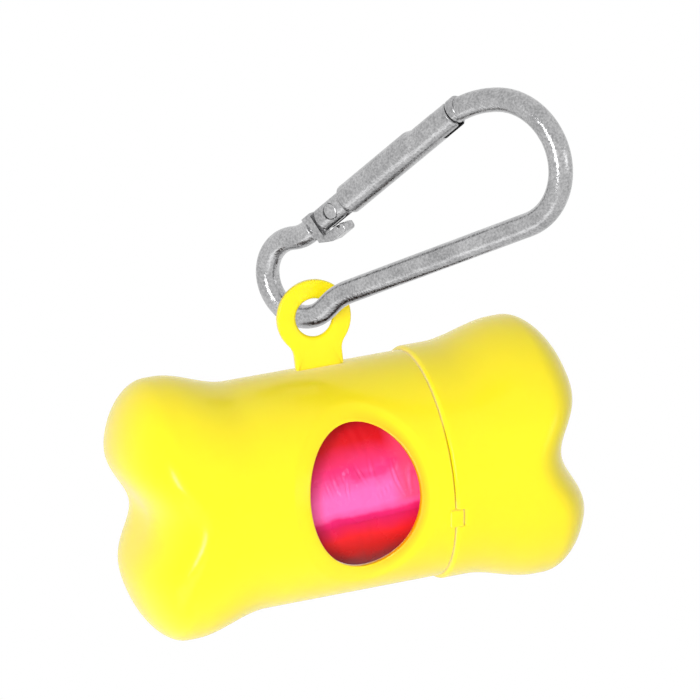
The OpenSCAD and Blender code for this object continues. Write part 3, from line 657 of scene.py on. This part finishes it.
def wire_path():
    """Centreline points and headings of the runs. From a point p with heading h, a straight goes to
    p + s (cos h, sin h), and an arc to p + k (sin(h + t) - sin h, cos h - cos(h + t))."""
    h, pts, heads = SLOPE + math.pi, [], []
    p = RIVET + SHOULDER * np.array([math.cos(h), math.sin(h)])
    for size, turn in RUNS:
        t = math.radians(turn)
        n = max(2, int(abs(turn) / 3)) if turn else max(2, int(size / 1.5))
        s = np.arange(n) / n
        if turn:
            k = size * math.copysign(1, t)
            swing = np.stack([np.sin(h + s * t) - math.sin(h), math.cos(h) - np.cos(h + s * t)], -1)
            pts.append(p + k * swing)
            p = p + k * np.array([math.sin(h + t) - math.sin(h), math.cos(h) - math.cos(h + t)])
        else:
            pts.append(p + s[:, None] * size * np.array([math.cos(h), math.sin(h)]))
            p = p + size * np.array([math.cos(h), math.sin(h)])
        heads.append(h + s * t)
        h += t
    return np.concatenate([*pts, p[None]]), np.concatenate([*heads, [h]])


path, heading = wire_path()
a = turns(40)
# Each end of the wire is closed and a little rounded: [in from the end, radius].
ends = np.array([[0, 0.0], [0, 1.8], [0.06, 1.96], [0.2, WIRE_R]])
way = np.stack([np.cos(heading), np.sin(heading)], -1)
path = np.concatenate([path[:1] + ends[:, :1] * way[:1], path[1:-1], path[-1:] - ends[::-1, :1] * way[-1:]])
heading = np.concatenate([heading[:1].repeat(len(ends)), heading[1:-1], heading[-1:].repeat(len(ends))])
radius = np.concatenate([ends[:, 1], np.full(len(path) - 2 * len(ends), WIRE_R), ends[::-1, 1]])[:, None]
normal = np.stack([-np.sin(heading), np.cos(heading)], -1)
wire = in_plane(path[:, None] + normal[:, None] * (radius * np.cos(a))[..., None], radius * np.sin(a))
hook_grids = [(wire, False, True)]


def lathe(rows, around=48):
    """Rows of [x, radius, y of the centre if not 0] turned about the gate's own length."""
    a = turns(around)
    x, r, y = np.array([[*row, 0.0][:3] for row in rows]).T[..., None]
    return on_gate(np.stack([np.repeat(x, around, 1), y + r * np.cos(a), r * np.sin(a)], -1))


def prism(outline, half, soft):
    """A flat plate in the gate's frame: an outline [x, y] taken anticlockwise, half thick each way, with
    its edges rounded by moving the outline inwards along its corners' bisectors."""
    outline = np.array(outline, float)
    step = np.roll(outline, -1, 0) - outline
    step /= np.linalg.norm(step, axis=1, keepdims=True)
    side = np.stack([-step[:, 1], step[:, 0]], -1)
    before = np.roll(side, 1, 0)
    corner = (side + before) / (1 + (side * before).sum(1, keepdims=True))
    rows = []
    for face, tilt in ((-1, -90), (-1, -60), (-1, -30), (-1, 0), (1, 0), (1, 30), (1, 60), (1, 90)):
        t = math.radians(tilt)
        flat = outline + corner * soft * (1 - math.cos(t))
        rows.append(np.insert(flat, 2, face * (half - soft) + soft * math.sin(t), axis=1))
    return on_gate(np.array(rows))


# The gate's line runs from the rivet, at 0, through the pin, at PIN_X, to the nose, at GATE_LEN.
GATE_LEN, PIN_X, TONGUE_T, HUB_R, CAM_X = 31.6372, 29.4372, 1.5, 1.9, 1.5
COLLAR_R, NOTCH_R, NOSE_H = WIRE_R + 0.15, 0.8, 1.6
BLOCK_T, BLOCK_H, BLOCK_END, LIP_TOP, LIP_Y, LIP_END = 3.0, 2.2, 4.434, 2.5, 4.2, 0.5
# The pressed block beside the hinge, with its lip below the rivet and a round dent inside the lip.
dent = arc(-0.6, -2.7, 0.35, 35, -215, 12)
block_outline = [[-SHOULDER - 0.5, BLOCK_H], [-SHOULDER - 0.5, -BLOCK_H], [-SHOULDER, -BLOCK_H],
                 [-SHOULDER, -2.9], [-5.2, -3.32], *arc(-3.2, -3.6, 0.6, 244, 268, 4),
                 *arc(LIP_END - 0.6, -LIP_Y + 0.6, 0.6, 275, 350, 6), [LIP_END, -2.95],
                 [LIP_END - 0.08, -2.86], *dent, [-BLOCK_END, -LIP_TOP], [-BLOCK_END, BLOCK_H]]
# The nose's collar with its two grooves, as [along, below the collar's radius].
nose_collar = [[GATE_LEN - 0.2 + v, COLLAR_R - r] for v, r in (
    (0, 2.2), (0, 0.12), (0.12, 0), (0.5, 0), (0.58, 0.09), (0.66, 0.09), (0.74, 0), (1.05, 0),
    (1.13, 0.09), (1.21, 0.09), (1.29, 0), (1.55, 0), (1.66, 0.08), (1.7, 0.2), (1.7, 2.2))]
hook_grids.append((lathe(nose_collar), False, True))
hook_grids.append((prism(block_outline, BLOCK_T / 2, 0.2), "flat", True))
flat_turn = math.degrees(math.acos(CAM_X / HUB_R))
tongue = [[-SHOULDER - 0.3, -HUB_R], *arc(0, 0, HUB_R, -90, -flat_turn, 10),
          *arc(0, 0, HUB_R, flat_turn, 90, 10), [-SHOULDER - 0.3, HUB_R]]
hook_grids.append((prism(tongue, TONGUE_T / 2 - 0.02, 0.05), "flat", True))
nose_tongue = [[GATE_LEN + 0.5, -NOSE_H], [GATE_LEN + 0.5, NOSE_H], [PIN_X - 1.7, NOSE_H],
               [PIN_X - 1.7, -NOSE_H], [PIN_X - NOTCH_R, -NOSE_H], *arc(PIN_X, 0, NOTCH_R, 180, 0, 16),
               [PIN_X + NOTCH_R, -NOSE_H]]
hook_grids.append((prism(nose_tongue, TONGUE_T / 2, 0.08), "flat", True))
piece("hook_wire", hook_grids, steel, "hook", ["carabiner_hook"])

# ---- Gate ----------------------------------------------------------------------------------
# The turned steel bar that closes the hook: slotted at both ends for the tongues, stouter in
# the middle, nickel plated like the wire.

GATE_R, GRIP_R, GATE_BACK, SLOT_W, SLOT_END, NOSE_GAP = 2.2, 2.7, 3.5, 1.8, 2.6, 0.3
SEAT, HEAD_R, BORE_END, GATE_BORE = 1.6, 1.35, 15.0, 1.15
GRIP_START, TAPER, FALL, FALL_LEN = 3.5, 0.9, 1.1, 2.0
nose_slot, grip_end = PIN_X - 2.1, GATE_LEN - 10.1
# Towards the nose the bar thins on its outer side alone, so its centre moves inside the hook.
NOSE_R, NOSE_Y = (GATE_R + GRIP_R) / 2, (GATE_R - GRIP_R) / 2
rise = [[s * TAPER, GATE_R + (GRIP_R - GATE_R) * float(smooth(s))] for s in np.linspace(0, 1, 7)]
fall = [[grip_end - FALL + s * FALL_LEN, GRIP_R + NOSE_Y * float(smooth(s)), NOSE_Y * float(smooth(s))]
        for s in np.linspace(0, 1, 9)]
bar = [[BORE_END, 0], [BORE_END, GATE_BORE], [SLOT_END, GATE_BORE], [SLOT_END, GATE_R],
       *[[GRIP_START - TAPER + x, r] for x, r in rise],
       *[[x, GRIP_R] for x in np.linspace(4, grip_end - 1.3, 12)],
       *fall, [nose_slot, NOSE_R, NOSE_Y], [nose_slot, 0, NOSE_Y]]


def cheek(x0, x1, side, round_at, seat_r=0.0, radius=GATE_R, centre=0.0):
    """One cheek beside a slot: the part of the round beyond the slot's wall, its end at x0 (round_at -1)
    or x1 (+1) rounded by 0.25 mm, with a flat of radius seat_r for a rivet head."""
    half, soft = SLOT_W / 2, 0.25
    s = np.linspace(0, 1, 6)
    near = soft * (1 - np.cos(s * np.pi / 2))
    shrink = soft * (1 - np.sin(s * np.pi / 2))
    run = np.linspace(soft, x1 - x0, 56)[1:]
    xs = np.concatenate([near, run])
    xs = x0 + xs if round_at < 0 else x1 - xs
    r = radius - np.concatenate([shrink, np.zeros(len(run))])
    t0 = np.arcsin(half / r)
    t = t0[:, None] + (np.pi - 2 * t0)[:, None] * np.linspace(0, 1, 45)
    y, z = r[:, None] * np.cos(t), r[:, None] * np.sin(t)
    far = np.hypot(xs[:, None], y)
    z = np.where(far < seat_r, np.minimum(z, SEAT), z)
    back = np.linspace(0, 1, 9)[1:-1]
    y = np.concatenate([y, y[:, -1:] + (y[:, :1] - y[:, -1:]) * back], 1)
    z = np.concatenate([z, np.full((len(xs), len(back)), half)], 1) * side
    p = np.stack([np.repeat(xs[:, None], y.shape[1], 1), y, z], -1)
    first, last = (np.repeat(p[i][None].mean(1, keepdims=True), p.shape[1], 1) for i in (0, -1))
    return on_gate(np.concatenate([first, p, last]) + np.array([0, centre, 0]))


gate_grids = [(lathe(bar), False, True)]
for side in (1, -1):
    gate_grids.append((cheek(-GATE_BACK, SLOT_END + 0.01, side, -1, HEAD_R + 0.05), False, True))
    nose_cheek = cheek(nose_slot - 0.01, GATE_LEN - NOSE_GAP, side, 1, 0.0, NOSE_R, NOSE_Y)
    gate_grids.append((nose_cheek, False, True))
piece("gate_bar", gate_grids, steel, "gate", ["carabiner_gate"])

# ---- Gate rivet ----------------------------------------------------------------------------
# The nickel-plated steel pin the gate turns on, 1.6 mm thick. It goes through the gate's cheeks
# and the hook's tongue, and its ends are peened into shallow domes.

SHANK_R = 0.8
dome = [[SEAT + 0.01, HEAD_R], [SEAT + 0.2, HEAD_R],
        *[[SEAT + 0.2 + r, x] for x, r in arc(HEAD_R - 0.22, 0, 0.22, 10, 70, 5)],
        [SEAT + 0.46, 0.9], [SEAT + 0.5, 0.45], [SEAT + 0.51, 0]]
shank = [[-x, r] for x, r in dome[::-1]] + [[-SEAT - 0.01, SHANK_R], [SEAT + 0.01, SHANK_R]] + dome


def across(rows, x):
    """Rows of [z, radius] turned about an axis along the gate frame's z, at x."""
    a = turns(40)
    rows = np.asarray(rows, float)
    z = np.repeat(rows[:, :1], len(a), 1)
    return on_gate(np.stack([x + rows[:, 1:] * np.cos(a), rows[:, 1:] * np.sin(a), z], -1))


piece("gate_rivet_pin", [(across(shank, 0.0), False, True)], steel, "gate", ["gate_rivet"])

# ---- Latch pin -----------------------------------------------------------------------------
# The cross pin that the nose's notch catches: 1.2 mm nickel-plated steel with rounded ends,
# pushed through the gate's cheeks to lie flush.

PIN_R, PIN_EDGE, PIN_SET_BACK = 0.6, 0.1, 0.05
pin_half = math.sqrt(NOSE_R ** 2 - (PIN_R - NOSE_Y) ** 2) - PIN_SET_BACK
pin = [[-pin_half, 0]]
pin += [[-pin_half + PIN_EDGE - PIN_EDGE * math.sin(t), PIN_R - PIN_EDGE + PIN_EDGE * math.cos(t)]
        for t in np.linspace(math.pi / 2, 0, 4)]
pin += [[-z, r] for z, r in pin[::-1]]
piece("latch_cross_pin", [(across(pin, PIN_X), False, True)], steel, "gate", ["latch_pin"])

# ---- Gate spring ---------------------------------------------------------------------------
# The coil that shuts the gate, in its bore between the plunger and the bore's end: 0.3 mm
# spring wire, nine turns. The real coil shortens as the plunger goes in; this mesh keeps one length.

wire_steel, tree, shader, coords = material("spring_steel")
marks = handled(tree, coords, 400, 6000)
shader.inputs["Metallic"].default_value = 1.0
tree.links.new(ramp(tree, marks.outputs["Cloud"], [(0.3, (0.42, 0.42, 0.43)), (0.7, (0.52, 0.52, 0.54))]),
               shader.inputs["Base Color"])
shader.inputs["Roughness"].default_value = 0.32
bump(tree, shader, marks.outputs["Grain"], 0.2, 0.00003)

SPRING_R, SPRING_WIRE, SPRING_TURNS = 0.88, 0.3, 9
PLUNGER_TIP, PLUNGER_HEAD, PLUNGER_D = CAM_X + 0.08, 2.2, 2.18
SPRING_CLEAR = 0.02
spring_start = PLUNGER_TIP + PLUNGER_HEAD + SPRING_WIRE / 2 + SPRING_CLEAR
spring_end = BORE_END - SPRING_WIRE / 2 - SPRING_CLEAR
t = np.linspace(0, SPRING_TURNS, SPRING_TURNS * 28 + 1)[:, None]
b = turns(12)[None]
k = SPRING_R + SPRING_WIRE / 2 * np.cos(b)
x = spring_start + (spring_end - spring_start) * t / SPRING_TURNS + SPRING_WIRE / 2 * np.sin(b)
coil = np.stack([x, k * np.cos(2 * np.pi * t), k * np.sin(2 * np.pi * t)], -1)
tips = [np.repeat(coil[i].mean(0)[None, None], 12, 1) for i in (0, -1)]
gate_spring = piece("gate_spring_coil", [(on_gate(np.concatenate([tips[0], coil, tips[1]])), False, True)],
                    wire_steel, "gate", ["gate_spring"])
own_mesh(gate_spring)

# ---- Spring plunger ------------------------------------------------------------------------
# The little turned steel plunger that carries the spring's push to the flat of the hinge's
# tongue. It slides in the gate's bore, and its stem stands inside the coil.

STEM_R, STEM_LEN, STEM_EDGE = 0.6, 2.5, 0.1
head_end = PLUNGER_TIP + PLUNGER_HEAD
head = [[PLUNGER_TIP, 0], [PLUNGER_TIP, PLUNGER_D / 2 - 0.12], [PLUNGER_TIP + 0.12, PLUNGER_D / 2],
        [head_end, PLUNGER_D / 2], [head_end, STEM_R], [head_end + STEM_LEN - STEM_EDGE, STEM_R],
        [head_end + STEM_LEN, STEM_R - STEM_EDGE], [head_end + STEM_LEN, 0]]
piece("spring_plunger_pin", [(lathe(head, 32), False, True)], wire_steel, "plunger", ["spring_plunger"])

# ---- Floor, light and camera ---------------------------------------------------------------
# A white floor below the piece, soft studio lamps round it and white all about. The camera looks
# at the window's side from a little to the left and above.


def lamp(name, spot, size, power, aim=(-0.02, 0.03, -0.04)):
    """A rectangular soft lamp at a spot, turned towards aim."""
    data = bpy.data.lights.new(name, "AREA")
    data.shape, data.size, data.size_y, data.energy = "RECTANGLE", size[0], size[1], power
    obj = bpy.data.objects.new(name, data)
    way = np.array(aim) - np.array(spot)
    obj.location = spot
    obj.rotation_mode = "QUATERNION"
    obj.rotation_quaternion = Vector(way).to_track_quat("-Z", "Y")
    bpy.context.scene.collection.objects.link(obj)
    return obj


def show_white(tree, lit, white, output):
    """Lights with one shader, and shows the white one to the camera's, mirrored and transmitted rays."""
    rays = tree.nodes.new("ShaderNodeLightPath")
    bounced = maths(tree, "MAXIMUM", rays.outputs["Is Glossy Ray"], rays.outputs["Is Transmission Ray"])
    mix = tree.nodes.new("ShaderNodeMixShader")
    tree.links.new(maths(tree, "MAXIMUM", rays.outputs["Is Camera Ray"], bounced), mix.inputs["Fac"])
    tree.links.new(lit.outputs[0], mix.inputs[1])
    tree.links.new(white.outputs[0], mix.inputs[2])
    tree.links.new(mix.outputs[0], output.inputs["Surface"])


FLOOR_Z, FLOOR_HALF = -0.16, 2
floor_mat, tree, shader, coords = material("studio_floor")
shader.inputs["Base Color"].default_value = (0.9, 0.9, 0.9, 1)
shader.inputs["Roughness"].default_value = 0.9
glow = tree.nodes.new("ShaderNodeEmission")
glow.inputs["Strength"].default_value = 1.0
show_white(tree, shader, glow, tree.nodes["Material Output"])
floor_mesh = bpy.data.meshes.new("floor")
corners = [(x * FLOOR_HALF, y * FLOOR_HALF, FLOOR_Z) for x, y in ((-1, -1), (1, -1), (1, 1), (-1, 1))]
floor_mesh.from_pydata(corners, [], [(0, 1, 2, 3)])
floor_mesh.materials.append(floor_mat)
floor = bpy.data.objects.new("floor", floor_mesh)
bpy.context.scene.collection.objects.link(floor)

# Turn, height and tilt in degrees, distance and shifts in mm, and scale in pixels to the mm.
AZ, EL, ROLL, DISTANCE, SHIFT_X, SHIFT_Y, SCALE = -16.46, 12.011, -6.661, 939.062, 3.03, 22.27, 5.751
SENSOR_W, IMAGE_W = 36, 700
az, el, roll = (math.radians(v) for v in (AZ, EL, ROLL))
back = np.array([math.sin(az) * math.cos(el), -math.cos(az) * math.cos(el), math.sin(el)])
side_way = np.array([math.cos(az), math.sin(az), 0])
up_way = np.cross(back, side_way)
cam_x = math.cos(roll) * side_way + math.sin(roll) * up_way
cam_y = -math.sin(roll) * side_way + math.cos(roll) * up_way

world = bpy.data.worlds.new("studio")
bpy.context.scene.world = world
world.use_nodes = True
tree = world.node_tree
background = tree.nodes["Background"]
background.inputs["Color"].default_value = (1, 1, 1, 1)
background.inputs["Strength"].default_value = 0.52
white = tree.nodes.new("ShaderNodeBackground")
white.inputs["Color"].default_value = (1, 1, 1, 1)
show_white(tree, background, white, tree.nodes["World Output"])

lamp("key", (-0.42, -0.55, 0.12), (0.4, 0.35), 2.55).visible_glossy = False
lamp("strip", (-0.5, -0.48, -0.02), (0.1, 0.42), 1.45)
lamp("fill", (0.5, -0.5, -0.08), (0.3, 0.3), 0.3)
lamp("back", (0.25, 0.75, 0.05), (0.4, 0.3), 2.9).visible_glossy = False
lamp("under", (-0.09, -0.05, -0.15), (0.16, 0.1), 0.03, (0.0, 0.0, 0.0))

spot = (back * DISTANCE + cam_x * SHIFT_X + cam_y * SHIFT_Y - EYE) / 1000
cam_data = bpy.data.cameras.new("camera")
cam_data.sensor_width = SENSOR_W
cam_data.lens = SCALE * DISTANCE * SENSOR_W / IMAGE_W
cam_data.clip_start, cam_data.clip_end = 0.05, 10
camera = bpy.data.objects.new("camera", cam_data)
bpy.context.scene.collection.objects.link(camera)
camera.matrix_world = Matrix([[cam_x[i], cam_y[i], back[i], spot[i]] for i in range(3)] + [[0, 0, 0, 1]])
bpy.context.scene.camera = camera
bpy.context.scene.view_settings.view_transform = "Standard"
